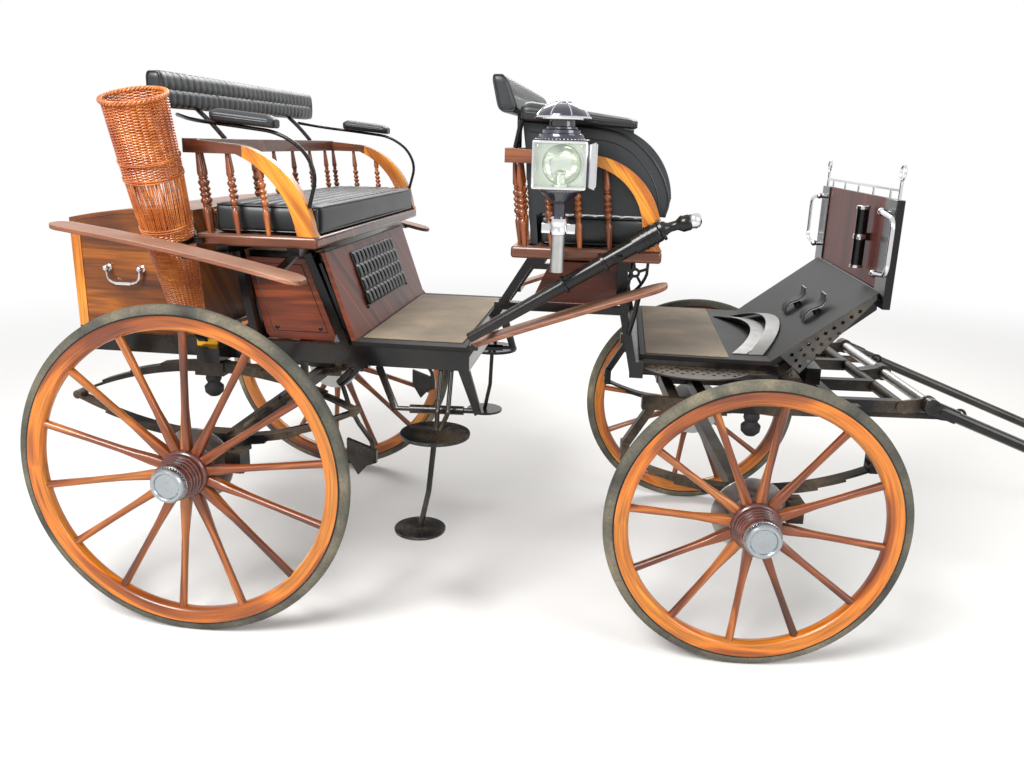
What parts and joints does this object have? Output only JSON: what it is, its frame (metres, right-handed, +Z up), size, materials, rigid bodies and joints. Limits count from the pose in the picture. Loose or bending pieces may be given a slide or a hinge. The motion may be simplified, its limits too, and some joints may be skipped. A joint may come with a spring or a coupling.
{
  "type": "horse drawn carriage",
  "caption": "Four-wheeled horse drawn carriage with varnished spoked wheels, quilted seats, lamps, a wicker basket and shafts resting on the ground.",
  "frame": {"origin": "centre of the whole carriage's bounding box on the ground, shafts included, as it stands parked", "axes": "+X forward, the way it is drawn; +Y to its left; +Z up. Metres."},
  "size_m": [4.9647, 1.7994, 1.785],
  "materials": {
    "varnished_wood": "high gloss amber varnish",
    "mahogany": "satin red-brown varnish",
    "floor_boards": "dull dark boards under a rubber mat",
    "black_paint": "gloss black",
    "leather": "quilted black leather",
    "rubber": "matt black",
    "tyre": "dusty grey-brown rubber",
    "bright_steel": "polished",
    "brushed": "bright, lightly scored",
    "wicker": "woven, varnished orange-brown"
  },
  "bodies": {
    "carriage": {"body_frame": "black_paint", "step_floor": "floor_boards", "foot_boards": "floor_boards", "side_treads": "black_paint", "floor_mats": "rubber", "seat_boxes": "mahogany", "riser_pad": "leather", "rear_box": "varnished_wood", "seat_bases": "varnished_wood", "seat_rails": "varnished_wood", "seat_spindles": "varnished_wood", "seat_cushions": "leather", "driver_seat_shell": "leather", "backrest_pads": "leather", "arm_pads": "leather", "seat_irons": "black_paint", "dash_frame": "black_paint", "dash_panel": "mahogany", "dash_rails": "bright_steel", "whip_holder": "bright_steel", "foot_controls": "bright_steel", "mudguards": "mahogany", "side_irons": "black_paint", "lamps": "black_paint", "lamp_brackets": "bright_steel", "umbrella_basket": "wicker", "stowed_pole": "black_paint", "steps": "black_paint", "rear_springs": "black_paint", "rear_axle": "black_paint", "rear_bump_stops": "rubber", "radius_rods": "black_paint", "side_struts": "black_paint", "dampers": "black_paint", "turntable_upper": "black_paint"},
    "forecarriage": {"turntable_lower": "black_paint", "front_gear_frame": "black_paint", "front_axle": "black_paint", "front_springs": "black_paint", "front_bump_stops": "rubber", "draught_bar": "black_paint", "trace_bars": "black_paint"},
    "shaft_pair": {"shafts": "black_paint", "shaft_crossbar": "black_paint"},
    "rear_box_cover": {"rear_box_lid": "varnished_wood"},
    "wheel_set_rear_left": {"tyre_rear_left": "tyre", "wheel_rear_left": "varnished_wood", "hub_rear_left": "brushed"},
    "wheel_set_rear_right": {"tyre_rear_right": "tyre", "wheel_rear_right": "varnished_wood", "hub_rear_right": "brushed"},
    "wheel_set_front_left": {"tyre_front_left": "tyre", "wheel_front_left": "varnished_wood", "hub_front_left": "brushed"},
    "wheel_set_front_right": {"tyre_front_right": "tyre", "wheel_front_right": "varnished_wood", "hub_front_right": "brushed"}
  },
  "joints": [
    {"name": "rear_left_wheel_spin", "type": "hinge", "parent": "carriage", "child": "wheel_set_rear_left", "pos_m": [-1.93344, 0.7905, 0.549], "axis": [0, 1, 0], "continuous": true},
    {"name": "rear_right_wheel_spin", "type": "hinge", "parent": "carriage", "child": "wheel_set_rear_right", "pos_m": [-1.93344, -0.7905, 0.549], "axis": [0, 1, 0], "continuous": true},
    {"name": "turntable_steer", "type": "hinge", "parent": "carriage", "child": "forecarriage", "pos_m": [-0.18344, 0, 0.838], "axis": [0, 0, 1], "range_deg": [-44.5, 35.5]},
    {"name": "front_left_wheel_spin", "type": "hinge", "parent": "forecarriage", "child": "wheel_set_front_left", "pos_m": [-0.23722, 0.68339, 0.473], "axis": [-0.0785, 0.9969, 0], "continuous": true},
    {"name": "front_right_wheel_spin", "type": "hinge", "parent": "forecarriage", "child": "wheel_set_front_right", "pos_m": [-0.12966, -0.68339, 0.473], "axis": [-0.0785, 0.9969, 0], "continuous": true},
    {"name": "shafts_lift", "type": "hinge", "parent": "forecarriage", "child": "shaft_pair", "pos_m": [0.38979, 0.04511, 0.815], "axis": [0.0785, -0.9969, 0], "range_deg": [0, 70]},
    {"name": "rear_box_lid_open", "type": "hinge", "parent": "carriage", "child": "rear_box_cover", "pos_m": [-1.99044, 0, 1.3385], "axis": [0, 1, 0], "range_deg": [0, 75]}
  ]
}
